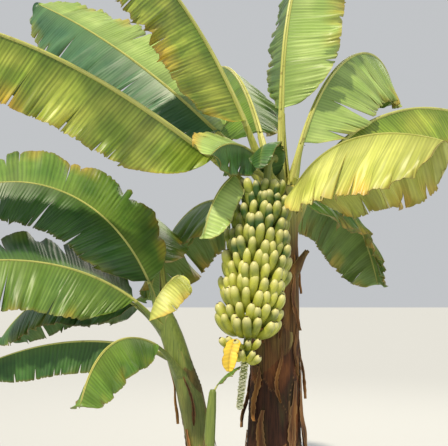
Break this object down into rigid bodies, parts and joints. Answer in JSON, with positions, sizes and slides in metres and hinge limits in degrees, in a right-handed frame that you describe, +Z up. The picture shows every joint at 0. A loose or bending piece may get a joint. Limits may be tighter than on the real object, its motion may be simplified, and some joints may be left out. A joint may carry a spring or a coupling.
{
  "type": "banana plant",
  "caption": "Banana plant: a tall sheathed pseudostem, arching torn leaves, a hanging bunch of green fruit, a leafy follower and a young shoot, cut flat at the ground.",
  "frame": {"origin": "centre of the flat ground cut under the pseudostem", "axes": "+Z up the pseudostem, -Y towards the side where the bunch hangs, +X to the right seen from that side"},
  "size_m": [3.7494, 2.78, 3.7021],
  "materials": {
    "stem_sheath": "dry reddish brown fibrous leaf sheaths",
    "green_sheath": "smooth green leaf sheaths",
    "leaf_blade": "waxy pleated green leaf blade",
    "bunch_stalk": "pale green ridged stalk with scars",
    "green_fruit": "smooth unripe fruit skin"
  },
  "bodies": {
    "root": {"pseudostem": "stem_sheath", "follower_stem": "green_sheath", "shoot_stem": "green_sheath", "left_front_leaf_inner": "leaf_blade", "left_front_leaf_outer": "leaf_blade", "right_front_leaf_inner": "leaf_blade", "right_front_leaf_outer": "leaf_blade", "right_rising_leaf_inner": "leaf_blade", "right_rising_leaf_outer": "leaf_blade", "upright_leaf_inner": "leaf_blade", "upright_leaf_outer": "leaf_blade", "left_rising_leaf_inner": "leaf_blade", "left_rising_leaf_outer": "leaf_blade", "left_back_leaf_inner": "leaf_blade", "left_back_leaf_outer": "leaf_blade", "back_leaf_inner": "leaf_blade", "back_leaf_outer": "leaf_blade", "right_arching_leaf_inner": "leaf_blade", "right_arching_leaf_outer": "leaf_blade", "back_right_low_leaf_inner": "leaf_blade", "back_right_low_leaf_outer": "leaf_blade", "back_left_low_leaf_inner": "leaf_blade", "back_left_low_leaf_outer": "leaf_blade", "flag_leaf": "leaf_blade", "hanging_leaf": "leaf_blade", "follower_rising_leaf_inner": "leaf_blade", "follower_rising_leaf_outer": "leaf_blade", "follower_left_leaf_inner": "leaf_blade", "follower_left_leaf_outer": "leaf_blade", "follower_back_leaf_inner": "leaf_blade", "follower_back_leaf_outer": "leaf_blade", "follower_back_left_leaf_inner": "leaf_blade", "follower_back_left_leaf_outer": "leaf_blade", "follower_low_left_leaf": "leaf_blade", "follower_front_leaf": "leaf_blade", "follower_folded_leaf": "leaf_blade", "shoot_leaf": "leaf_blade", "bunch_stalk": "bunch_stalk", "hand_1": "green_fruit", "hand_2": "green_fruit", "hand_3": "green_fruit", "hand_4": "green_fruit", "hand_5": "green_fruit", "hand_6": "green_fruit", "hand_7": "green_fruit"}
  },
  "joints": []
}
